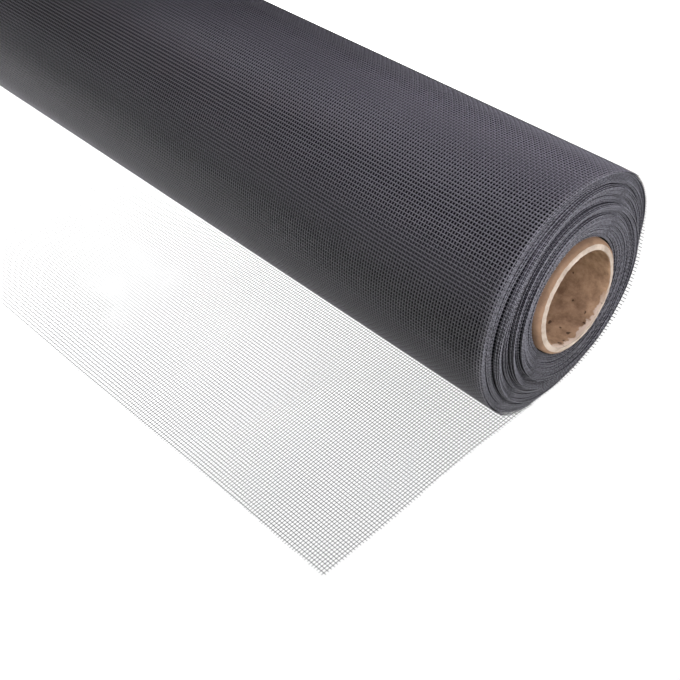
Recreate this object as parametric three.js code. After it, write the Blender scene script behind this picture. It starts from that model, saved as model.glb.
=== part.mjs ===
// A roll of insect screen on a cardboard core, with its outermost turn hanging a little slack round the
// back and its loose end running out flat from under the roll.
// Millimetres, +Z up, +X along the roll towards its uneven near end, -Y towards the loose end.
// The origin is on the floor under the roll's axis, halfway along the cloth.

import * as THREE from 'three';

// Driving dimensions
const CLOTH_WIDTH = 1000;
const SHEET_THICKNESS = 1;
const PIECE_GAP = 0.3;
const ROLL_RADIUS = 54.2;
const ROLL_AXIS_Z = 53.9;
const FRONT_EDGE_Y = -135;
const CORE = { innerRadius: 21, outerRadius: 25, nearX: 503.1, farX: -503.3, y: 0.9, z: 54.7 };
// How much the core's near end is cut back for each millimetre towards the back and upwards
const CORE_SLANT = { back: 0.035, up: 0.025 };

// Angles are in degrees round the roll's axis, seen from the near end: 0 at the back (+Y), 90 at the top.
const TURN_LEAVES_ANGLE = 44;
const UNDERLAP_ENDS_ANGLE = -150;
const STEP_HALF_ANGLE = 0.15;

const ROUND_STEPS = 72;
const CORE_STEPS = 64;
const TURN_STEPS = 30;

// How slack the outermost turn hangs: the widest gap under it, where that is, and over how wide an arc
const SLACK = { gap: 2.0, angle: 14, halfArc: 44, share: 0.35, fadeLength: 420 };

// The near ends of the wound layers, from the core outwards. x is where that layer ends, back and top are
// what its edge gains at the back and at the top, and wave is its own unevenness, in so many swells.
const LAYER_EDGES = [
  { radius: CORE.outerRadius + PIECE_GAP, x: 499.6, back: -0.65, top: -0.7, wave: 0.2, swells: 3, phase: 20 },
  { radius: 28.5, x: 500.6, back: -0.6, top: -0.2, wave: 0.4, swells: 3, phase: 75 },
  { radius: 35.7, x: 502.6, back: -1.7, top: 0.1, wave: 0.3, swells: 2, phase: 132 },
  { radius: 36.4, x: 499.9, back: -1.4, top: 0.2, wave: 0.4, swells: 2, phase: 170 },
  { radius: 40.1, x: 502.2, back: -1.3, top: 0.8, wave: 0.9, swells: 2, phase: 73 },
  { radius: 40.8, x: 499.0, back: -1.3, top: 0.4, wave: 0.5, swells: 2, phase: 73 },
  { radius: 42.2, x: 500.4, back: -1.8, top: 0.1, wave: 0.7, swells: 2, phase: 143 },
  { radius: 43.0, x: 498.6, back: -2.2, top: 0.8, wave: 0.5, swells: 3, phase: 15 },
  { radius: 47.3, x: 499.8, back: -3.2, top: 2.3, wave: 0.3, swells: 2, phase: 114 },
  { radius: 48.1, x: 497.2, back: -2.8, top: 2.2, wave: 0.5, swells: 3, phase: 130 },
  { radius: 50.1, x: 498.1, back: -2.7, top: 2.1, wave: 1.0, swells: 2, phase: 24 },
  { radius: 50.9, x: 496.4, back: -2.9, top: 2.4, wave: 0.8, swells: 2, phase: 24 },
  { radius: 52.8, x: 496.6, back: -3.2, top: 3.0, wave: 1.2, swells: 2, phase: 5 },
  { radius: ROLL_RADIUS, x: 497.2, back: -3.5, top: 3.9, wave: 1.6, swells: 2, phase: 0 },
];

// The near side edge of the loose end and its turn, by the distance along the cloth from the cut front edge
const SIDE_EDGE = [
  { along: 0, x: 493.7 },
  { along: 39, x: 493.7 },
  { along: 51, x: 493.45 },
  { along: 63, x: 492.7 },
  { along: 75, x: 492.7 },
  { along: 87, x: 492.9 },
  { along: 99, x: 493.45 },
  { along: 150, x: 494.4 },
  { along: 190, x: 495.8 },
  { along: 222, x: 493.4 },
  { along: 262, x: 495.9 },
];

// How far the front edge strays from straight, across the cloth from the near side to the far side
const FRONT_EDGE = [
  { across: 0, stray: 0.6 },
  { across: 0.05, stray: 0.6 },
  { across: 0.085, stray: 0.1 },
  { across: 0.135, stray: -0.4 },
  { across: 0.18, stray: -1.4 },
  { across: 0.45, stray: -0.6 },
  { across: 0.7, stray: -1.0 },
  { across: 1, stray: 0 },
];

// Shares of the width where the sheet has a row of corners
const ACROSS_STEPS = [0, 0.05, 0.085, 0.135, 0.18, 0.25, 0.35, 0.45, 0.57, 0.7, 0.85, 1];
// Distances from the front edge where the sheet on the floor has such a row, at the bends of its side edge
const FLOOR_STEPS = [0, 39, 51, 63, 75, 87, 99];

const innerRollRadius = ROLL_RADIUS - SHEET_THICKNESS - PIECE_GAP;
const rollFloorZ = SHEET_THICKNESS + PIECE_GAP;
const radians = THREE.MathUtils.degToRad;
const turnMeetsFloorAngle = -THREE.MathUtils.radToDeg(Math.asin(ROLL_AXIS_Z / ROLL_RADIUS));

// Reads a table at a value of its key column, straight between rows
function readTable(table, key, column, value) {
  const after = table.findIndex((row) => row[key] >= value);
  if (after === 0) return table[0][column];
  if (after < 0) return table[table.length - 1][column];
  const low = table[after - 1];
  const high = table[after];
  return THREE.MathUtils.mapLinear(value, low[key], high[key], low[column], high[column]);
}

function meshFrom(name, geometry, color, roughness) {
  geometry.computeVertexNormals();
  const material = new THREE.MeshStandardMaterial({ color, roughness, metalness: 0 });
  const mesh = new THREE.Mesh(geometry, material);
  mesh.name = name;
  return mesh;
}

function geometryFrom(corners, triangles) {
  const geometry = new THREE.BufferGeometry();
  geometry.setAttribute('position', new THREE.Float32BufferAttribute(corners.flat(), 3));
  geometry.setIndex(triangles);
  return geometry;
}

// A closed solid whose grid of corners wraps round in both directions
function wrappedGrid(columns, rows, cornerAt) {
  const corners = [];
  const triangles = [];
  for (let column = 0; column < columns; column += 1) {
    const nextColumn = (column + 1) % columns;
    for (let row = 0; row < rows; row += 1) {
      const nextRow = (row + 1) % rows;
      corners.push(cornerAt(column, row));
      const a = column * rows + row;
      const b = nextColumn * rows + row;
      const c = nextColumn * rows + nextRow;
      const d = column * rows + nextRow;
      triangles.push(a, c, b, a, d, c);
    }
  }
  return geometryFrom(corners, triangles);
}

// A closed sheet from two grids of corners, one for each face, joined along all four edges
function sheetSolid(stations, columns, faceCorner) {
  const corners = [];
  const index = (side, station, column) => (side * stations + station) * columns + column;
  for (const side of [0, 1]) {
    for (let station = 0; station < stations; station += 1) {
      for (let column = 0; column < columns; column += 1) {
        corners.push(faceCorner(side, station, column));
      }
    }
  }
  const triangles = [];
  const quad = (a, b, c, d) => triangles.push(a, c, b, a, d, c);
  for (let s = 0; s + 1 < stations; s += 1) {
    for (let c = 0; c + 1 < columns; c += 1) {
      quad(index(0, s, c), index(0, s + 1, c), index(0, s + 1, c + 1), index(0, s, c + 1));
      quad(index(1, s, c), index(1, s, c + 1), index(1, s + 1, c + 1), index(1, s + 1, c));
    }
    quad(index(0, s, 0), index(1, s, 0), index(1, s + 1, 0), index(0, s + 1, 0));
    const last = columns - 1;
    quad(index(0, s, last), index(0, s + 1, last), index(1, s + 1, last), index(1, s, last));
  }
  const end = stations - 1;
  for (let c = 0; c + 1 < columns; c += 1) {
    quad(index(0, 0, c), index(0, 0, c + 1), index(1, 0, c + 1), index(1, 0, c));
    quad(index(0, end, c), index(1, end, c), index(1, end, c + 1), index(0, end, c + 1));
  }
  return geometryFrom(corners, triangles);
}

// The radius of the wound layers at an angle: one layer less where the outermost turn lies over them,
// growing back to the full radius where that turn has run out in front, and flat where it rests.
function woundRadius(angle) {
  const sine = Math.sin(radians(angle));
  const flatRadius = sine < 0 ? (ROLL_AXIS_Z - rollFloorZ) / -sine : Infinity;
  const growth = THREE.MathUtils.smoothstep(-angle, 90, -UNDERLAP_ENDS_ANGLE);
  const share = angle >= TURN_LEAVES_ANGLE ? 1 : growth;
  return Math.min(THREE.MathUtils.lerp(innerRollRadius, ROLL_RADIUS, share), flatRadius);
}

// Angles from -180 to 180 round the roll, with a pair on both sides of the step where the turn leaves it
function roundAngles() {
  const step = 360 / ROUND_STEPS;
  const even = Array.from({ length: ROUND_STEPS }, (_, index) => -180 + step * index);
  const clear = even.filter((angle) => Math.abs(angle - TURN_LEAVES_ANGLE) > step / 3);
  const pair = [TURN_LEAVES_ANGLE - STEP_HALF_ANGLE, TURN_LEAVES_ANGLE + STEP_HALF_ANGLE];
  return [...clear, ...pair].sort((low, high) => low - high);
}

// Where a layer of a given radius has its centre: on the core's axis inside, on the roll's axis outside
function layerCentre(radius) {
  const share = (ROLL_RADIUS - radius) / (ROLL_RADIUS - CORE.outerRadius);
  return { y: CORE.y * share, z: ROLL_AXIS_Z + (CORE.z - ROLL_AXIS_Z) * share };
}

function layerEdgeX(layer, angle) {
  const turn = radians(angle);
  const wave = layer.wave * Math.sin(layer.swells * turn + radians(layer.phase));
  return layer.x + layer.back * Math.cos(turn) + layer.top * Math.sin(turn) + wave;
}

// The wound cloth: layers of one width, so that each near edge that stands out stands in at the far end
function woundScreen() {
  const angles = roundAngles();
  const layers = LAYER_EDGES.length;
  const cornerAt = (column, row) => {
    const angle = angles[column];
    const near = row < layers;
    const layer = LAYER_EDGES[near ? row : 2 * layers - 1 - row];
    const radius = Math.min(layer.radius, woundRadius(angle));
    const centre = layerCentre(layer.radius);
    const x = layerEdgeX(layer, angle) - (near ? 0 : CLOTH_WIDTH);
    const turn = radians(angle);
    return [x, centre.y + radius * Math.cos(turn), centre.z + radius * Math.sin(turn)];
  };
  return meshFrom('wound_screen', wrappedGrid(angles.length, 2 * layers, cornerAt), 0x3a3a40, 0.7);
}

// Corners along the loose cloth, from its cut edge over the floor and up round the back of the roll
function clothStations() {
  const clearRadius = innerRollRadius + PIECE_GAP;
  const floorEndY = Math.cos(radians(turnMeetsFloorAngle)) * clearRadius;
  const floor = FLOOR_STEPS.map((along) => ({ along, y: FRONT_EDGE_Y + along }));
  const floorLength = floorEndY - FRONT_EDGE_Y;
  const turn = Array.from({ length: TURN_STEPS + 1 }, (_, index) => {
    const end = TURN_LEAVES_ANGLE - 2 * STEP_HALF_ANGLE;
    const angle = THREE.MathUtils.mapLinear(index, 0, TURN_STEPS, turnMeetsFloorAngle, end);
    return { along: floorLength + clearRadius * radians(angle - turnMeetsFloorAngle), angle };
  });
  return [...floor, ...turn];
}

// The gap under the slack turn, which closes away from the near end to a share of its width
function slackGap(angle, fromNearEdge) {
  const offset = Math.min(1, Math.abs(angle - SLACK.angle) / SLACK.halfArc);
  const bulge = Math.cos(offset * Math.PI / 2) ** 2;
  const fade = THREE.MathUtils.smoothstep(fromNearEdge, 0, SLACK.fadeLength);
  return SLACK.gap * bulge * THREE.MathUtils.lerp(1, SLACK.share, fade);
}

// The loose end and the slack turn are one sheet; face 0 is the side away from the roll
function looseEnd() {
  const stations = clothStations();
  const faceCorner = (face, station, column) => {
    const { along, y, angle } = stations[station];
    const across = ACROSS_STEPS[column];
    const x = readTable(SIDE_EDGE, 'along', 'x', along) - across * CLOTH_WIDTH;
    if (angle === undefined) {
      const stray = along === 0 ? readTable(FRONT_EDGE, 'across', 'stray', across) : 0;
      return [x, y + stray, face === 0 ? 0 : SHEET_THICKNESS];
    }
    const turn = radians(angle);
    const clear = innerRollRadius + PIECE_GAP + slackGap(angle, across * CLOTH_WIDTH);
    const radius = face === 0 ? clear + SHEET_THICKNESS : clear;
    const floorZ = face === 0 ? 0 : SHEET_THICKNESS;
    return [x, radius * Math.cos(turn), Math.max(floorZ, ROLL_AXIS_Z + radius * Math.sin(turn))];
  };
  const geometry = sheetSolid(stations.length, ACROSS_STEPS.length, faceCorner);
  return meshFrom('loose_end', geometry, 0x6f7175, 0.7);
}

// The cardboard core: a spiral-wound tube whose near end is cut a little out of square
function coreTube() {
  const { innerRadius, outerRadius, nearX, farX } = CORE;
  const profile = [
    new THREE.Vector2(innerRadius, farX),
    new THREE.Vector2(outerRadius, farX),
    new THREE.Vector2(outerRadius, nearX),
    new THREE.Vector2(innerRadius, nearX),
    new THREE.Vector2(innerRadius, farX),
  ];
  const geometry = new THREE.LatheGeometry(profile, CORE_STEPS);
  geometry.rotateZ(-Math.PI / 2);
  const position = geometry.getAttribute('position');
  for (let corner = 0; corner < position.count; corner += 1) {
    const x = position.getX(corner);
    const slant = CORE_SLANT.back * position.getY(corner) + CORE_SLANT.up * position.getZ(corner);
    position.setX(corner, x > 0 ? x - slant : x);
  }
  const tube = meshFrom('core_tube', geometry, 0xa3815f, 0.85);
  tube.position.set(0, CORE.y, CORE.z);
  return tube;
}

const roll = new THREE.Group();
roll.add(coreTube(), woundScreen(), looseEnd());

export default roll;
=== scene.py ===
import math

import bpy
import numpy as np
from mathutils import Matrix, Vector


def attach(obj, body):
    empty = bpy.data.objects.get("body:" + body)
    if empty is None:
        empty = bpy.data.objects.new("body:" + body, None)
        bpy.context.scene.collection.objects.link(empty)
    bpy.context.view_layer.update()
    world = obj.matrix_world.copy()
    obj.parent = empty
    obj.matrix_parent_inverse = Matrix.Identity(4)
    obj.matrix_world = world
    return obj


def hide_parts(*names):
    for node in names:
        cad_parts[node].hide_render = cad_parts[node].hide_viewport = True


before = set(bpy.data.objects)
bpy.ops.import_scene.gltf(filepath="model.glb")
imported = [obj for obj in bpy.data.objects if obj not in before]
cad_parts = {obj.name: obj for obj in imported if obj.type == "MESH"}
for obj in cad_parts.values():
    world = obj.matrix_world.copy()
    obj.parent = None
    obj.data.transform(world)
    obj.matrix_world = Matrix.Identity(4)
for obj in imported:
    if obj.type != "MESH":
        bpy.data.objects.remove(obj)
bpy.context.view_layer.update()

# Sizes, in millimetres in the object's frame, turned to metres where a mesh is made
MM = 0.001
INCH = 25.4
CLOTH_WIDTH = 1000.0
WARP_PITCH = INCH / 18
WEFT_PITCH = INCH / 16
WARP_COUNT = int(CLOTH_WIDTH / WARP_PITCH)
THREAD_WIDTH = 0.28
LAYER_PITCH = 0.29
TURN_GAP = 0.34
ROLL_RADIUS = 54.2
ROLL_AXIS_Z = 53.9
OUTER_THREAD_RADIUS = ROLL_RADIUS - THREAD_WIDTH / 2
FRONT_EDGE_Y = -135.0
CORE = {"inner": 21.0, "outer": 25.0, "near_x": 503.1, "far_x": -503.3, "y": 0.9, "z": 54.7}
CORE_SLANT = {"back": 0.035, "up": 0.025}
# How high each layer lies where the roll is flat on the floor
FLOOR_STACK = {"loose": 0.16, "outer": 0.46, "under": 0.76, "wound": 1.06}

# Angles round the roll's axis, in degrees: 0 at the back (+Y), 90 at the top
TURN_LEAVES = 44.0
FRONT_ENDS = 252.0
LIFT_ANGLE = -math.degrees(math.asin(ROLL_AXIS_Z / ROLL_RADIUS))
# The slack turn stands off the roll by its gap at one angle, less over half an arc to either side, and by a
# mere share of it past the fade's distance from the near edge
SLACK = {"gap": 2.0, "angle": 14.0, "half_arc": 44.0, "share": 0.35, "fade": 420.0}
# The length along the loose cloth from its front edge to where it lifts off the floor
FLOOR_LENGTH = ROLL_RADIUS * math.cos(math.radians(LIFT_ANGLE)) - FRONT_EDGE_Y

# The near ends of the wound layers, from the core outwards: where a layer ends, what its edge gains at the
# back and at the top, and its own unevenness in so many swells
EDGE_COLUMNS = ("radius", "x", "back", "top", "wave", "swells", "phase")
LAYER_EDGES = (
    (25.3, 499.6, -0.65, -0.7, 0.2, 3, 20),
    (28.5, 500.6, -0.6, -0.2, 0.4, 3, 75),
    (35.7, 502.6, -1.7, 0.1, 0.3, 2, 132),
    (36.4, 499.9, -1.4, 0.2, 0.4, 2, 170),
    (40.1, 502.2, -1.3, 0.8, 0.9, 2, 73),
    (40.8, 499.0, -1.3, 0.4, 0.5, 2, 73),
    (42.2, 500.4, -1.8, 0.1, 0.7, 2, 143),
    (43.0, 498.6, -2.2, 0.8, 0.5, 3, 15),
    (47.3, 499.8, -3.2, 2.3, 0.3, 2, 114),
    (48.1, 497.2, -2.8, 2.2, 0.5, 3, 130),
    (50.1, 498.1, -2.7, 2.1, 1.0, 2, 24),
    (50.9, 496.4, -2.9, 2.4, 0.8, 2, 24),
    (52.8, 496.6, -3.2, 3.0, 1.2, 2, 5),
    (54.2, 497.2, -3.5, 3.9, 1.6, 2, 0),
)

# The near side edge of the loose cloth, by the distance along it from the cut front edge
SIDE_EDGE = (
    (0, 493.7), (39, 493.7), (51, 493.45), (63, 492.7), (75, 492.7), (87, 492.9), (99, 493.45),
    (150, 494.4), (190, 495.8), (222, 493.4), (262, 495.9),
)
# How far the front edge strays from straight, by the share of the width from the near side, and how far along
# the cloth that has faded out
FRONT_EDGE = (
    (0, 0.6), (0.05, 0.6), (0.085, 0.1), (0.135, -0.4), (0.18, -1.4), (0.45, -0.6), (0.7, -1.0), (1, 0),
)
FRONT_EDGE_FADE = 30.0

# How far the weft ends stand out past the side edge of the loose cloth, by the distance along it. Its first
# warp thread has frayed away from where the cloth leaves the floor.
WHISKERS = ((0, 0.5), (99, 0.6), (135, 0.4), (160, 0.5), (225, 0.5), (262, 0.3))
FRAYED_FROM = 115
# By how many threads the turn beneath is out of step with the outer one, in its warp and in its weft, by the
# angle round the roll: where both are whole numbers the holes fall in line and look dark
TURN_SHIFT = (
    (-180, 2.0, 0.05), (-90, 1.2, 0.3), (0, 0.6, 0.4), (60, 0.4, 0.4), (78, 0.5, 0.55), (92, 0.85, 0.72),
    (106, 1.0, 0.86), (116, 1.1, 0.82), (128, 1.35, 0.9), (140, 1.5, 0.97), (150, 1.75, 1.0), (162, 2.0, 1.0),
    (180, 2.0, 1.05),
)
WARP_SHIFT, WEFT_SHIFT = 1, 2

CHANCE_SEED = 18
chance = np.random.default_rng(CHANCE_SEED)


def table(rows, column):
    return np.array([row[column] for row in rows], float)


def read_table(rows, value, column=1):
    return np.interp(value, table(rows, 0), table(rows, column))


def smooth(share):
    share = np.clip(share, 0, 1)
    return share * share * (3 - 2 * share)


def layer_edge(radius, angle):
    """Where the near edge of the layer at a radius lies, at angles in degrees."""
    edge = {name: table(LAYER_EDGES, i)[:, None] for i, name in enumerate(EDGE_COLUMNS)}
    turn = np.radians(np.atleast_1d(angle))[None, :]
    wave = edge["wave"] * np.sin(edge["swells"] * turn + np.radians(edge["phase"]))
    rows = edge["x"] + edge["back"] * np.cos(turn) + edge["top"] * np.sin(turn) + wave
    radii = edge["radius"][:, 0]
    radius = np.clip(np.broadcast_to(radius, turn.shape[1]), radii[0], radii[-1])
    above = np.clip(np.searchsorted(radii, radius), 1, len(radii) - 1)
    share = (radius - radii[above - 1]) / (radii[above] - radii[above - 1])
    columns = np.arange(turn.shape[1])
    return rows[above - 1, columns] * (1 - share) + rows[above, columns] * share


def round_roll(x, radius, angle, floor_z=0.0):
    """Points at a radius and angle round the roll, whose layers close in on the core's own centre, and the
    directions away from the roll there. Nothing goes below floor_z, which leaves the flat spot."""
    x, radius, angle = np.broadcast_arrays(x, radius, angle)
    turn = np.radians(angle)
    share = np.clip((ROLL_RADIUS - radius) / (ROLL_RADIUS - CORE["outer"]), 0, 1)
    y = CORE["y"] * share + radius * np.cos(turn)
    z = ROLL_AXIS_Z + (CORE["z"] - ROLL_AXIS_Z) * share + radius * np.sin(turn)
    points = np.stack([x, y, np.maximum(z, floor_z)], -1)
    outward = np.stack([np.zeros_like(turn), np.cos(turn), np.sin(turn)], -1)
    return points, outward


def slack_gap(angle, from_near):
    """How far the slack turn stands off the roll."""
    offset = np.minimum(1, np.abs(angle - SLACK["angle"]) / SLACK["half_arc"])
    bulge = np.cos(offset * math.pi / 2) ** 2
    return SLACK["gap"] * bulge * (1 + (SLACK["share"] - 1) * smooth(from_near / SLACK["fade"]))


# Mesh making

def new_mesh(name, points, faces, soft=True, corner_values=None):
    """A mesh object from points in millimetres and an array of faces of one size."""
    mesh = bpy.data.meshes.new(name)
    faces = np.asarray(faces, np.int32)
    size = faces.shape[1]
    mesh.vertices.add(len(points))
    mesh.vertices.foreach_set("co", (np.asarray(points, float) * MM).astype(np.float32).ravel())
    mesh.loops.add(faces.size)
    mesh.loops.foreach_set("vertex_index", faces.ravel())
    mesh.polygons.add(len(faces))
    mesh.polygons.foreach_set("loop_start", np.arange(0, faces.size, size, dtype=np.int32))
    mesh.polygons.foreach_set("use_smooth", np.full(len(faces), soft))
    mesh.update(calc_edges=True)
    if corner_values is not None:
        layer = mesh.uv_layers.new(name="weave")
        layer.uv.foreach_set("vector", corner_values[faces.ravel()].astype(np.float32).ravel())
    made = bpy.data.objects.new(name, mesh)
    bpy.context.scene.collection.objects.link(made)
    return made


def grid_faces(rows, columns):
    row, column = np.meshgrid(np.arange(rows - 1), np.arange(columns - 1), indexing="ij")
    first = (row * columns + column).ravel()
    return np.stack([first, first + columns, first + columns + 1, first + 1], -1)


THREAD_SIDES = 3
SHORTEST = 1e-9


def unit(vectors):
    return vectors / np.maximum(np.linalg.norm(vectors, axis=2, keepdims=True), SHORTEST)


def thread_tubes(points, outward, crossings, width=THREAD_WIDTH):
    """Three-sided open tubes with a ridge outward: points and outward are threads by points by 3. crossings
    counts the threads crossed so far, odd or even by the thread's own place, for the ups and downs."""
    along = unit(np.gradient(points, axis=1))
    aside = unit(np.cross(along, outward))
    reach = width / math.sqrt(3)
    corners = []
    for side in range(THREAD_SIDES):
        turn = 2 * math.pi * side / THREAD_SIDES
        corners.append(points + reach * (math.cos(turn) * outward + math.sin(turn) * aside))
    corners = np.stack(corners, 2)
    threads, steps = points.shape[:2]
    start = np.arange(threads * steps).reshape(threads, steps)[:, :-1].ravel() * THREAD_SIDES
    faces = []
    for side in range(THREAD_SIDES):
        other = (side + 1) % THREAD_SIDES
        near_pair = [start + side, start + other]
        faces.append(np.stack(near_pair + [start + other + THREAD_SIDES, start + side + THREAD_SIDES], -1))
    counted = np.broadcast_to(crossings, (threads, steps)).ravel()
    weave = np.repeat(np.stack([counted, np.zeros(threads * steps)], -1), THREAD_SIDES, axis=0)
    return corners.reshape(-1, 3), np.concatenate(faces), weave


def thread_mesh(name, parts):
    """One mesh object from several sets of threads."""
    points, faces, weave, offset = [], [], [], 0
    for part_points, part_faces, part_weave in parts:
        points.append(part_points)
        faces.append(part_faces + offset)
        weave.append(part_weave)
        offset += len(part_points)
    return new_mesh(name, np.concatenate(points), np.concatenate(faces), corner_values=np.concatenate(weave))


# Materials

WHITE = (1, 1, 1, 1)
BLACK = (0, 0, 0, 1)
# The Mix node's own numbers for its share, its two colours and their mix
MIX_SHARE, MIX_FIRST, MIX_SECOND, MIX_RESULT = 0, 6, 7, 2


def new_material(name):
    material = bpy.data.materials.new(name)
    material.use_nodes = True
    tree = material.node_tree
    return material, tree, tree.nodes["Principled BSDF"]


def set_inputs(tree, made, inputs):
    """Links or sets the inputs of a node, each by its name or number."""
    for key, value in inputs.items():
        if isinstance(value, bpy.types.NodeSocket):
            tree.links.new(value, made.inputs[key])
        else:
            made.inputs[key].default_value = value


def node(tree, kind, inputs=None, **settings):
    made = tree.nodes.new(kind)
    for key, value in settings.items():
        setattr(made, key, value)
    set_inputs(tree, made, inputs or {})
    return made


def maths(tree, operation, *values, clamp=False):
    inputs = dict(enumerate(values))
    return node(tree, "ShaderNodeMath", inputs, operation=operation, use_clamp=clamp).outputs[0]


def mix_colour(tree, share, first, second):
    inputs = {MIX_SHARE: share, MIX_FIRST: first, MIX_SECOND: second}
    return node(tree, "ShaderNodeMix", inputs, data_type="RGBA").outputs[MIX_RESULT]


def ramp(tree, value, low, high):
    """0 where a value is low and 1 where it is high."""
    return node(tree, "ShaderNodeMapRange", {"Value": value, "From Min": low, "From Max": high}).outputs[0]


def ramp_between(tree, value, low, high):
    """low where a value is 0 and high where it is 1."""
    return node(tree, "ShaderNodeMapRange", {"Value": value, "To Min": low, "To Max": high}).outputs[0]


def noise(tree, place, scale, detail, roughness=0.5):
    inputs = {"Vector": place, "Scale": scale, "Detail": detail, "Roughness": roughness}
    return node(tree, "ShaderNodeTexNoise", inputs).outputs["Fac"]


def bumps(tree, height, strength, depth):
    """Bumps of a depth in millimetres."""
    inputs = {"Strength": strength, "Distance": depth * MM, "Height": height}
    return node(tree, "ShaderNodeBump", inputs).outputs[0]


def object_place(tree):
    return node(tree, "ShaderNodeTexCoord").outputs["Object"]


def split_place(tree, place):
    return node(tree, "ShaderNodeSeparateXYZ", {0: place}).outputs


def weave_place(tree):
    """The place on the cloth, in threads crossed."""
    return split_place(tree, node(tree, "ShaderNodeUVMap", uv_map="weave").outputs[0])


# Yarn colours, in its hollows and on its crossings, whose darker hollows are painted shade and paler
# crossings
# painted light: on the outer turn, beneath it, and in the loose cloth
OUTER_YARN = ((0.046, 0.044, 0.049, 1), (0.22, 0.215, 0.235, 1))
# The turn beneath has the outer turn's yarn made darker: painted shade from the turn above it
SHADED_UNDER_YARN = ((0.026, 0.025, 0.027, 1), (0.115, 0.112, 0.121, 1))
LOOSE_YARN = ((0.060, 0.058, 0.062, 1), (0.20, 0.20, 0.21, 1))
RIM_YARN = ((0.040, 0.039, 0.043, 1), (0.34, 0.34, 0.37, 1))
# The slack turn's edge carries a painted highlight, the pale glare of the light from behind where it stands
# out into that light, by x and by height, in metres
GLARE_YARN = (0.74, 0.71, 0.64, 1)
GLARE_EDGE = {"x": (0.4900, 0.4925), "z": (0.045, 0.062)}
# How pale its painted light over the crossings and its patches together make a thread, what its specks add,
# and the ranges of the noise in which the specks and the patches lie
RISE_LIGHT_AND_PATCHES = 0.7
YARN_SPECKS = {"scale": 900.0, "share": 0.2, "range": (0.35, 0.7)}
YARN_PATCHES = (0.35, 0.65)
YARN_ROUGHNESS = (0.36, 0.48)
YARN_BUMPS = {"strength": 0.6, "depth": 0.14}


def thread_material(name, yarn, shine, patch_scale=9.0, patch_share=0.1, painted_glare=False):
    """Vinyl-coated yarn: charcoal, with painted light where it rises over a crossing and painted shade in the
    hollows between, uneven in colour and shine.
    """
    material, tree, shader = new_material(name)
    place = object_place(tree)
    crossing = maths(tree, "COSINE", maths(tree, "MULTIPLY", weave_place(tree)[0], math.pi))
    rise = maths(tree, "MULTIPLY_ADD", crossing, 0.5, 0.5)
    patches = ramp(tree, noise(tree, place, patch_scale, detail=2.0), *YARN_PATCHES)
    specks = ramp(tree, noise(tree, place, YARN_SPECKS["scale"], detail=2.0), *YARN_SPECKS["range"])
    from_specks = maths(tree, "MULTIPLY", specks, YARN_SPECKS["share"])
    from_patches = maths(tree, "MULTIPLY", patches, patch_share)
    # Painted light and shade of the weave: paler where a thread rises over a crossing, darker in the hollows
    painted_rise_light = maths(tree, "MULTIPLY", rise, RISE_LIGHT_AND_PATCHES - patch_share)
    uneven = maths(tree, "ADD", from_specks, from_patches)
    colour = mix_colour(tree, maths(tree, "ADD", painted_rise_light, uneven, clamp=True), *yarn)
    # Painted highlight: the glare of the light from behind on the slack turn's raised near edge
    if painted_glare:
        x, _, z = split_place(tree, place)
        edge = ramp(tree, x, *GLARE_EDGE["x"])
        raised = ramp(tree, z, *GLARE_EDGE["z"])
        colour = mix_colour(tree, maths(tree, "MULTIPLY", edge, raised), colour, GLARE_YARN)
    set_inputs(tree, shader, {
        "Base Color": colour,
        "Roughness": ramp_between(tree, specks, *YARN_ROUGHNESS),
        "Specular IOR Level": shine,
        "Normal": bumps(tree, rise, **YARN_BUMPS),
    })
    return material


# Cloth deep in the roll: its holes, painted dark as shade, and its yarn darkened as painted shade, how a
# thread's side fades in shares of half its width, how many threads in from an open edge the painted shade
# sets in, and its patches
HOLE_SHADE = (0.003, 0.003, 0.004, 1)
SHADED_DEEP_YARN = (0.030, 0.029, 0.032, 1)
DEEP_SIDE = (1.35, 0.75)
DEEP_FROM = (1.0, 3.0)
DEEP_PATCHES = {"scale": 60.0, "share": 0.7, "range": (0.3, 0.7)}
DEEP_BUMPS = {"strength": 0.6, "depth": 0.2}
DEEP_ROUGHNESS = 0.7
DEEP_SHINE = 0.05


def weave_material():
    """Cloth too deep in the roll to show its threads one by one: pale threads over holes painted dark as
    shade, by the weave's own pitch on the cloth, and darker with painted shade away from the open edges."""
    material, tree, shader = new_material("screen_weave")
    across, along = weave_place(tree)[:2]
    threads = []
    for axis, pitch in ((across, WARP_PITCH), (along, WEFT_PITCH)):
        from_thread = maths(tree, "PINGPONG", axis, 0.5)
        half = THREAD_WIDTH / pitch / 2
        threads.append(ramp(tree, from_thread, half * DEEP_SIDE[0], half * DEEP_SIDE[1]))
    cover = maths(tree, "MAXIMUM", *threads)
    # Painted shade: away from the open edges the yarn darkens, as the turns above shade it
    deep = ramp(tree, maths(tree, "PINGPONG", across, WARP_COUNT / 2), *DEEP_FROM)
    cloudy = noise(tree, object_place(tree), DEEP_PATCHES["scale"], detail=3.0)
    patches = ramp(tree, cloudy, *DEEP_PATCHES["range"])
    open_thread = mix_colour(tree, maths(tree, "MULTIPLY", patches, DEEP_PATCHES["share"]), *OUTER_YARN)
    thread = mix_colour(tree, deep, open_thread, SHADED_DEEP_YARN)
    # The holes are painted dark as the shade of the turns beneath
    set_inputs(tree, shader, {
        "Base Color": mix_colour(tree, cover, HOLE_SHADE, thread),
        "Roughness": DEEP_ROUGHNESS,
        "Specular IOR Level": DEEP_SHINE,
        "Normal": bumps(tree, cover, **DEEP_BUMPS),
    })
    return material


# Cardboard: its dark and its light colour and the scale of its clouds, on the wall, the cut end and within
OUTSIDE_BOARD = ((0.13, 0.075, 0.045, 1), (0.33, 0.21, 0.13, 1), 90)
CUT_BOARD = ((0.24, 0.19, 0.145, 1), (0.52, 0.44, 0.36, 1), 200)
INSIDE_BOARD = ((0.12, 0.063, 0.033, 1), (0.48, 0.32, 0.19, 1), 170)
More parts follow.
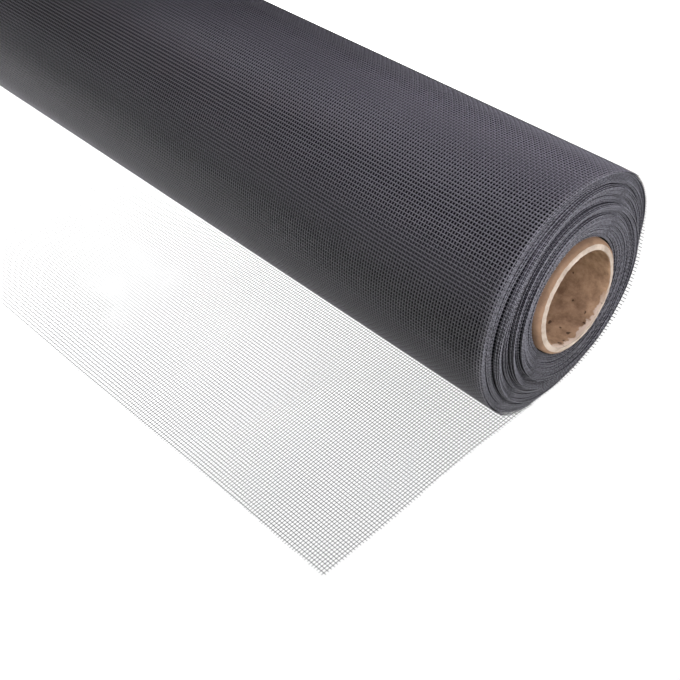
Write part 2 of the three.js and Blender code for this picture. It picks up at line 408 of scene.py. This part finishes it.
# The range of the noise in its clouds, how much finer its fibre is, and how much each tells
BOARD_CLOUDS = {"range": (0.32, 0.68), "share": 0.7}
BOARD_FIBRE = {"finer": 14, "share": 0.4}
BOARD_BUMPS = {"strength": 0.5, "depth": 0.3}
BOARD_ROUGHNESS = 0.85
BOARD_SHINE = 0.2


def board_material(name, dark, light, scale):
    """Cardboard of mottled fibre."""
    material, tree, shader = new_material(name)
    place = object_place(tree)
    clouds = ramp(tree, noise(tree, place, scale, detail=6.0, roughness=0.65), *BOARD_CLOUDS["range"])
    fibre = noise(tree, place, scale * BOARD_FIBRE["finer"], detail=4.0, roughness=0.7)
    from_clouds = maths(tree, "MULTIPLY", clouds, BOARD_CLOUDS["share"])
    from_fibre = maths(tree, "MULTIPLY", fibre, BOARD_FIBRE["share"])
    tone = maths(tree, "ADD", from_clouds, from_fibre, clamp=True)
    colour = mix_colour(tree, tone, dark, light)
    set_inputs(tree, shader, {
        "Base Color": colour,
        "Roughness": BOARD_ROUGHNESS,
        "Specular IOR Level": BOARD_SHINE,
        "Normal": bumps(tree, tone, **BOARD_BUMPS),
    })
    return material, tree, shader, colour


# The torn paper in the core's mouth: the x from which it is torn, how far below the core's centre, and how
# ragged that is. The specks are the dark tips of the noise.
PALE_PAPER = (0.60, 0.49, 0.38, 1)
TORN = {"x": (505.8, 506.5), "below": (8, 15), "ragged_scale": 260.0, "ragged": 9.0}
SPECK_COLOUR = (0.03, 0.015, 0.01, 1)
INNER_SPECKS = {"scale": 330.0, "share": 0.8, "range": (0.70, 0.74)}


def core_inside_material():
    """The inner wall: brown board, pale where it is torn low in its mouth, with dark specks."""
    material, tree, shader, board = board_material("core_inside", *INSIDE_BOARD)
    place = object_place(tree)
    x, _, z = split_place(tree, place)
    uneven = noise(tree, place, TORN["ragged_scale"], detail=4.0, roughness=0.6)
    ragged = maths(tree, "MULTIPLY", uneven, TORN["ragged"] * MM)
    mouth = ramp(tree, maths(tree, "ADD", x, ragged), *(at * MM for at in TORN["x"]))
    low = ramp(tree, z, *((CORE["z"] - below) * MM for below in TORN["below"]))
    torn = maths(tree, "MULTIPLY", mouth, low, clamp=True)
    rubbed = mix_colour(tree, torn, board, PALE_PAPER)
    tips = noise(tree, place, INNER_SPECKS["scale"], detail=1.0, roughness=0.4)
    speck = maths(tree, "MULTIPLY", ramp(tree, tips, *INNER_SPECKS["range"]), INNER_SPECKS["share"])
    set_inputs(tree, shader, {"Base Color": mix_colour(tree, speck, rubbed, SPECK_COLOUR)})
    return material


thread_finish = thread_material("screen_thread", OUTER_YARN, shine=0.9)
# The turn beneath: its yarn darkened as painted shade
under_finish = thread_material("screen_beneath", SHADED_UNDER_YARN, shine=0.3)
loose_finish = thread_material("screen_loose", LOOSE_YARN, shine=0.5, painted_glare=True)
rim_finish = thread_material("screen_rims", RIM_YARN, shine=0.5, patch_scale=260.0, patch_share=0.15)
weave_finish = weave_material()


def finish_piece(made, materials, slot, *replaced):
    """Gives a piece its materials, the body it rides on and the nodes it stands in for. The slot is not used.
    """
    for material in materials:
        made.data.materials.append(material)
    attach(made, "root")
    if replaced:
        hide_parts(*replaced)
    return made


# Pieces of cloth

# The spiral's steps to a turn, its first and last radius, and the width of the faces along its open edges
SPIRAL_STEPS = 72
SPIRAL_RADII = (25.45, 53.3)
EDGE_STRIP = 4.0
# How the spiral's edge wanders: swells to a turn and how far each reaches
WANDER = ((0.137, 0.30), (0.411, 0.22), (0.93, 0.16), (2.31, 0.10), (5.7, 0.06))
RIM_INSET = 0.1
RIM_WIDTH = 0.24
# The cut ends of the weft: where they start, how far they reach and how much more at random, and their width
STUB = {"root": -0.3, "reach": 0.2, "more": 0.25, "width": 0.2}


def spiral_path():
    """The wound cloth's line, from the core outwards: radius, angle in degrees and length so far."""
    turns = (SPIRAL_RADII[1] - SPIRAL_RADII[0]) / LAYER_PITCH
    steps = int(turns * SPIRAL_STEPS)
    angle = -np.arange(steps + 1) * 360 / SPIRAL_STEPS
    radius = SPIRAL_RADII[0] - LAYER_PITCH * angle / 360
    length = np.concatenate([[0], np.cumsum(np.radians(360 / SPIRAL_STEPS) * radius[1:])])
    return radius, angle, length


def spiral_wander(angle):
    """How far each turn's edge strays from its group, which makes no two turns quite flush."""
    total = np.zeros_like(angle)
    for swells, reach in WANDER:
        total += reach * np.sin(np.radians(angle) * swells + chance.uniform(0, 2 * math.pi))
    return total


def spiral_floor(radius):
    """How high the spiral lies on the floor at a radius: each turn above the next one out."""
    return FLOOR_STACK["wound"] + (SPIRAL_RADII[1] - radius)


def wound_cloth(path, near):
    """The wound cloth as one spiral sheet."""
    radius, angle, length = path
    across = np.array([0.0, EDGE_STRIP, CLOTH_WIDTH - EDGE_STRIP, CLOTH_WIDTH])[None, :]
    floor_z = spiral_floor(radius)
    points, _ = round_roll(near[:, None] - across, radius[:, None], angle[:, None], floor_z[:, None])
    weave = np.stack(np.broadcast_arrays(across / WARP_PITCH - 0.5, length[:, None] / WEFT_PITCH), -1)
    made = new_mesh("wound_cloth", points.reshape(-1, 3), grid_faces(len(radius), across.size),
                    corner_values=weave.reshape(-1, 2))
    finish_piece(made, [weave_finish], "screen_mesh", "wound_screen")


def rim_threads(path, near):
    """The outermost warp thread at both edges of every turn."""
    radius, angle, length = path
    parts = []
    for x in (near - RIM_INSET, near - CLOTH_WIDTH + RIM_INSET):
        points, outward = round_roll(x, radius, angle, spiral_floor(radius))
        parts.append(thread_tubes(points[None], outward[None], length[None] / WEFT_PITCH, RIM_WIDTH))
    finish_piece(thread_mesh("layer_rims", parts), [rim_finish], "screen_mesh")


def cut_ends(path, near):
    """The short cut ends of the weft, standing out of every turn's near edge."""
    radius, angle, length = path
    at = np.arange(0, length[-1], WEFT_PITCH)
    stub_radius = np.interp(at, length, radius)
    stub_angle = np.interp(at, length, angle)
    edge = np.interp(at, length, near)
    reach = STUB["reach"] + STUB["more"] * chance.random(len(at))
    x = edge[:, None] + np.stack([np.full(len(at), STUB["root"]), reach], -1)
    floor_z = spiral_floor(stub_radius)
    points, outward = round_roll(x, stub_radius[:, None], stub_angle[:, None], floor_z[:, None])
    stubs = thread_tubes(points, outward, 0.0, STUB["width"])
    finish_piece(thread_mesh("weft_ends", [stubs]), [rim_finish], "screen_mesh")


def warp_places():
    """The warp threads' distances from the near side edge, one row each."""
    return ((np.arange(WARP_COUNT) + 0.5) * WARP_PITCH)[:, None]


def counts(threads):
    return np.arange(threads)[:, None]


# A turn's points along its warp and its weft threads, and the finer steps by which its weft is spaced
TURN_STEPS = 44
WEFT_POINTS = 5
SPACING_STEPS = 2000
OUTER_WEFT_STEP = math.degrees(WEFT_PITCH / ROLL_RADIUS)
# How far a turn's weft ends stand out past its edges, and how much more at random
OUTER_FRINGE = (0.2, 0.5)
UNDER_FRINGE = (0.1, 0.3)


def turn_cloth(name, finish, angles, radius, edge_at, weft_angle, floor_z, fringe):
    """A turn of real threads: warp threads round the roll and weft threads along it."""
    from_near = warp_places()
    warp_x = edge_at(angles)[None, :] - from_near
    wefts_before = np.interp(angles, weft_angle, np.arange(len(weft_angle)))[None, :]
    warps = thread_tubes(*round_roll(warp_x, radius, angles[None, :], floor_z),
                         wefts_before + counts(WARP_COUNT) + 1)
    across = np.linspace(0, CLOTH_WIDTH, WEFT_POINTS)[None, :]
    reach = fringe[0] + fringe[1] * chance.random((len(weft_angle), 2))
    x = edge_at(weft_angle)[:, None] - across
    x[:, 0] += reach[:, 0]
    x[:, -1] -= reach[:, 1]
    wefts = thread_tubes(*round_roll(x, radius, weft_angle[:, None], floor_z),
                         across / WARP_PITCH - 0.5 + counts(len(weft_angle)))
    made = finish_piece(thread_mesh(name, [warps, wefts]), [finish], "screen_mesh")


def weft_angles(low, high, shift_column=None):
    """Angles of the weft threads between two angles, a pitch apart but for what the turn is out of step."""
    angle = np.linspace(low, high, SPACING_STEPS)
    count = angle / OUTER_WEFT_STEP
    if shift_column is not None:
        count += read_table(TURN_SHIFT, angle, shift_column)
    return np.interp(np.arange(math.ceil(count[0]), count[-1]), count, angle)


def outer_turn():
    """The cloth that shows over the top and down the front of the roll."""
    def edge_at(angle):
        return layer_edge(ROLL_RADIUS, angle)

    angles = np.linspace(TURN_LEAVES, FRONT_ENDS, TURN_STEPS + 1)
    turn_cloth("outer_turn", thread_finish, angles, OUTER_THREAD_RADIUS, edge_at,
               weft_angles(TURN_LEAVES, FRONT_ENDS), FLOOR_STACK["outer"], OUTER_FRINGE)


def under_turn():
    """The turn beneath, which shows through the holes of the outer one."""
    def edge_at(angle):
        return layer_edge(ROLL_RADIUS, angle) - WARP_PITCH * read_table(TURN_SHIFT, angle, WARP_SHIFT)

    angles = np.linspace(-180, 180, TURN_STEPS + 1)
    turn_cloth("under_turn", under_finish, angles, OUTER_THREAD_RADIUS - TURN_GAP, edge_at,
               weft_angles(-180, 180, WEFT_SHIFT), FLOOR_STACK["under"], UNDER_FRINGE)


def loose_points(along, from_near, extra_x=0.0):
    """Points on the loose cloth, flat on the floor and then round the back of the roll, and the directions
    away from its upper side."""
    along, from_near = np.broadcast_arrays(along, from_near)
    x = read_table(SIDE_EDGE, along) - from_near + extra_x
    angle = LIFT_ANGLE + np.degrees((along - FLOOR_LENGTH) / ROLL_RADIUS)
    radius = OUTER_THREAD_RADIUS + slack_gap(angle, from_near)
    round_points, round_out = round_roll(x, radius, angle, FLOOR_STACK["loose"])
    stray = read_table(FRONT_EDGE, from_near / CLOTH_WIDTH) * smooth(1 - along / FRONT_EDGE_FADE)
    flat_points = np.stack([x, FRONT_EDGE_Y + along + stray, np.full_like(x, FLOOR_STACK["loose"])], -1)
    flat_out = np.zeros_like(flat_points)
    flat_out[..., 2] = 1
    on_floor = (along < FLOOR_LENGTH)[..., None]
    return np.where(on_floor, flat_points, round_points), np.where(on_floor, flat_out, round_out)


# The loose cloth's points along its warp, on the floor by the distance from the front edge and so many round
# the back, its points along its weft, and where the first weft thread lies
FLOOR_STATIONS = (-0.5, 12, 30, 55, 85, 115)
ROUND_STATIONS = 26
LOOSE_WEFT_POINTS = 13
FIRST_WEFT = 0.4
# How far its ends stand out at random: in front, by shares of a whisker at the near side, and at the far side
FRONT_FRINGE = 0.6
WHISKER_SHARES = (0.5, 0.7)
FAR_FRINGE = (0.4, 0.6)


def loose_end():
    """The loose end on the floor and the slack turn round the back, all threads."""
    length = FLOOR_LENGTH + ROLL_RADIUS * math.radians(TURN_LEAVES - LIFT_ANGLE)
    stations = np.concatenate([FLOOR_STATIONS, np.linspace(FLOOR_LENGTH, length, ROUND_STATIONS)])
    points, outward = loose_points(stations[None, :], warp_places())
    points[:, 0, 1] -= FRONT_FRINGE * chance.random(WARP_COUNT)
    crossings = stations[None, :] / WEFT_PITCH + counts(WARP_COUNT) + 1
    whole = stations <= FRAYED_FROM
    first = thread_tubes(points[:1, whole], outward[:1, whole], crossings[:1, whole])
    warps = thread_tubes(points[1:], outward[1:], crossings[1:])
    weft_along = np.arange(FIRST_WEFT, length, WEFT_PITCH)[:, None]
    across = np.linspace(0, CLOTH_WIDTH, LOOSE_WEFT_POINTS)[None, :]
    extra = np.zeros((weft_along.size, across.size))
    whiskers = read_table(WHISKERS, weft_along[:, 0])
    extra[:, 0] = whiskers * (WHISKER_SHARES[0] + WHISKER_SHARES[1] * chance.random(weft_along.size))
    extra[:, -1] = -FAR_FRINGE[0] - FAR_FRINGE[1] * chance.random(weft_along.size)
    wefts = thread_tubes(*loose_points(weft_along, across, extra),
                         across / WARP_PITCH - 0.5 + counts(weft_along.size))
    threads = thread_mesh("loose_cloth", [first, warps, wefts])
    made = finish_piece(threads, [loose_finish], "screen_mesh", "loose_end")


# The core

# Its near end is worn to a rounded lip: radius and how far short of the mouth. The faces after the lip's rows
# from the first in LIP_PAPER to just before the second are cut board, the earlier ones the outer wall and the
# later ones the inner wall.
CORE_LIP = (
    (25.05, 9.0), (25.05, 4.5), (24.95, 3.1), (24.7, 1.9), (24.3, 1.2), (23.3, 0.5), (22.7, 0.28),
    (21.9, 0.05), (21.3, -0.1), (21.0, 0.2), (21.0, 1.6), (21.0, 6.0), (21.0, 25.0),
)
LIP_PAPER = (5, 9)
CORE_AROUND = 240
# How ragged the lip is, in swells round the core and their reach, and over what length that fades in
LIP_RAGGED = ((3, 0.06), (7, 0.04), (13, 0.04), (29, 0.04), (53, 0.05))
RAGGED_FROM = 4
RAGGED_FADE = 3


def cardboard_core():
    """The core: outer wall, worn cut lip and inner wall, in one closed mesh."""
    inner, outer = CORE["inner"], CORE["outer"]
    near, far = CORE["near_x"], CORE["far_x"]
    outer_wall = [(outer, far), (outer, 0)]
    lip = [(radius, near - short) for radius, short in CORE_LIP]
    inner_wall = [(inner, 0), (inner, far)]
    profile = outer_wall + lip + inner_wall
    turn = np.radians(np.linspace(0, 360, CORE_AROUND, endpoint=False))[None, :]
    radius = table(profile, 0)[:, None]
    x = table(profile, 1)[:, None]
    at_near = smooth((x - near + RAGGED_FROM) / RAGGED_FADE)
    ragged = np.zeros_like(turn)
    for swells, reach in LIP_RAGGED:
        ragged += reach * np.sin(swells * turn + chance.uniform(0, 2 * math.pi))
    y = CORE["y"] + radius * np.cos(turn)
    z = CORE["z"] + radius * np.sin(turn)
    slant = CORE_SLANT["back"] * (y - CORE["y"]) + CORE_SLANT["up"] * (z - CORE["z"])
    x = x + at_near * ragged - np.where(x > 0, slant, 0)
    points = np.stack([x, y, z], -1).reshape(-1, 3)
    rows = len(profile)
    row, column = np.meshgrid(np.arange(rows), np.arange(CORE_AROUND), indexing="ij")
    next_row, next_column = (row + 1) % rows, (column + 1) % CORE_AROUND
    this_ring, next_ring = row * CORE_AROUND, next_row * CORE_AROUND
    corners = [this_ring + column, this_ring + next_column, next_ring + next_column, next_ring + column]
    made = new_mesh("cardboard_core", points, np.stack(corners, -1).reshape(-1, 4))
    outside = board_material("core_outside", *OUTSIDE_BOARD)[0]
    cut = board_material("core_cut", *CUT_BOARD)[0]
    finish_piece(made, [outside, cut, core_inside_material()], "core_cardboard", "core_tube")
    kinds = np.zeros((rows, CORE_AROUND), np.int32)
    first_cut, first_inside = (len(outer_wall) + row for row in LIP_PAPER)
    kinds[first_cut:first_inside] = 1
    kinds[first_inside:rows - 1] = 2
    made.data.polygons.foreach_set("material_index", kinds.ravel())


# Camera, floor and light

CAMERA_PLACE = (713.5, -287.4, 374.42)
CAMERA_AZIMUTH, CAMERA_ELEVATION, CAMERA_ROLL = 51.65, 43.49, -6.77
CAMERA_CLIP = (0.01, 20)
SENSOR_WIDTH = 36.0
PHOTO_SIDE = 680
FOCAL_PIXELS = 1190.7


def make_camera():
    azimuth, elevation, roll = (math.radians(a) for a in (CAMERA_AZIMUTH, CAMERA_ELEVATION, CAMERA_ROLL))
    level_share = math.cos(elevation)
    back = Vector((math.sin(azimuth) * level_share, -math.cos(azimuth) * level_share, math.sin(elevation)))
    level = (-back).cross(Vector((0, 0, 1))).normalized()
    up = level.cross(-back)
    right = level * math.cos(roll) + up * math.sin(roll)
    top = up * math.cos(roll) - level * math.sin(roll)
    data = bpy.data.cameras.new("photo_camera")
    data.sensor_width = SENSOR_WIDTH
    data.lens = FOCAL_PIXELS * SENSOR_WIDTH / PHOTO_SIDE
    data.clip_start, data.clip_end = CAMERA_CLIP
    camera = bpy.data.objects.new("photo_camera", data)
    turned = Matrix((right, top, back)).transposed().to_4x4()
    camera.matrix_world = Matrix.Translation(Vector(CAMERA_PLACE) * MM) @ turned
    bpy.context.scene.collection.objects.link(camera)
    bpy.context.scene.camera = camera


FLOOR_REACH = 8000.0
FLOOR_DROP = 0.05
# How brightly the floor glows, by x in metres: evenly but for a pool of light along the roll
FLOOR_GLOW = (
    (-0.10, 1.1), (0.04, 2.4), (0.20, 2.4), (0.26, 2.0), (0.30, 1.7), (0.34, 1.50), (0.38, 1.36),
    (0.42, 1.20), (0.455, 1.07), (0.49, 1.02),
)
# Past the front edge of the cloth the floor is brighter still, by y in metres
FRONT_GLOW = ((-0.95, 0.0), (-0.50, 3.8), (-0.28, 3.8), (-0.155, 0.0))


def stepped_value(tree, value, rows):
    """A value read from a short table of rows, straight between them."""
    low, high = rows[0][0], rows[-1][0]
    top = max(row[1] for row in rows)
    made = node(tree, "ShaderNodeValToRGB", {0: ramp(tree, value, low, high)})
    stops = made.color_ramp.elements
    while len(stops) < len(rows):
        stops.new(0.5)
    for stop, (at, level) in zip(stops, rows):
        stop.position = (at - low) / (high - low)
    for stop, (at, level) in zip(stops, rows):
        stop.color = (level / top,) * 3 + (1,)
    return maths(tree, "MULTIPLY", made.outputs[0], top)


def make_floor():
    corners = np.array([(-1, -1, 0), (1, -1, 0), (1, 1, 0), (-1, 1, 0)]) * FLOOR_REACH - (0, 0, FLOOR_DROP)
    floor = new_mesh("floor", corners, [(0, 1, 2, 3)], soft=False)
    # The floor is black and glows: painted light, in a pool along the roll and brighter past the front edge,
    # which also lights the roll from below
    material, tree, shader = new_material("glowing_floor")
    x, y, _ = split_place(tree, object_place(tree))
    glow = maths(tree, "ADD", stepped_value(tree, x, FLOOR_GLOW), stepped_value(tree, y, FRONT_GLOW))
    set_inputs(tree, shader, {
        "Base Color": BLACK,
        "Specular IOR Level": 0,
        "Emission Color": WHITE,
        "Emission Strength": glow,
    })
    floor.data.materials.append(material)


WORLD_FILL = 0.05
# Strips of light above the roll and along it, in metres
STRIP = {"y": -0.024, "z": 0.16, "width": 0.03, "colour": (0.90, 0.87, 1.0)}


def soft_light(name, place, target, sides, power, colour):
    data = bpy.data.lights.new(name, "AREA")
    data.shape, data.energy, data.color = "RECTANGLE", power, colour
    data.size, data.size_y = sides
    light = bpy.data.objects.new(name, data)
    light.location = Vector(place)
    light.visible_camera = False
    light.rotation_mode = "QUATERNION"
    light.rotation_quaternion = (Vector(target) - Vector(place)).to_track_quat("-Z", "Y")
    bpy.context.scene.collection.objects.link(light)


def strip_light(name, x, length, power):
    """A strip of light that looks straight down."""
    place = (x, STRIP["y"], STRIP["z"])
    soft_light(name, place, (x, STRIP["y"], 0), (length, STRIP["width"]), power, STRIP["colour"])


def make_light():
    """Strips above the near and the far half and one more by the near end, soft fills that light the end and
    the back, and a white room that lights little."""
    world = bpy.data.worlds.new("studio")
    bpy.context.scene.world = world
    world.use_nodes = True
    tree = world.node_tree
    seen = node(tree, "ShaderNodeLightPath").outputs["Is Camera Ray"]
    fill = ramp_between(tree, seen, WORLD_FILL, 1.0)
    set_inputs(tree, tree.nodes["Background"], {"Color": WHITE, "Strength": fill})
    strip_light("key", x=0.525, length=0.55, power=0.25)
    strip_light("key_near", x=0.61, length=0.38, power=0.42)
    soft_light("end_fill", place=(1.40, -0.10, 0.16), target=(0.50, 0.0, 0.05), sides=(0.45, 0.45),
               power=4.2, colour=(0.95, 0.95, 1.0))
    soft_light("back_fill", place=(0.95, 0.30, 0.06), target=(0.49, 0.05, 0.06), sides=(0.25, 0.25),
               power=2.0, colour=(1.0, 0.98, 0.95))
    strip_light("far_key", x=-0.225, length=0.75, power=0.38)


path = spiral_path()
near_edge = layer_edge(path[0], path[1]) + spiral_wander(path[1])
cardboard_core()
wound_cloth(path, near_edge)
rim_threads(path, near_edge)
cut_ends(path, near_edge)
under_turn()
outer_turn()
loose_end()
make_floor()
make_light()
make_camera()
bpy.context.scene.view_settings.view_transform = "Standard"
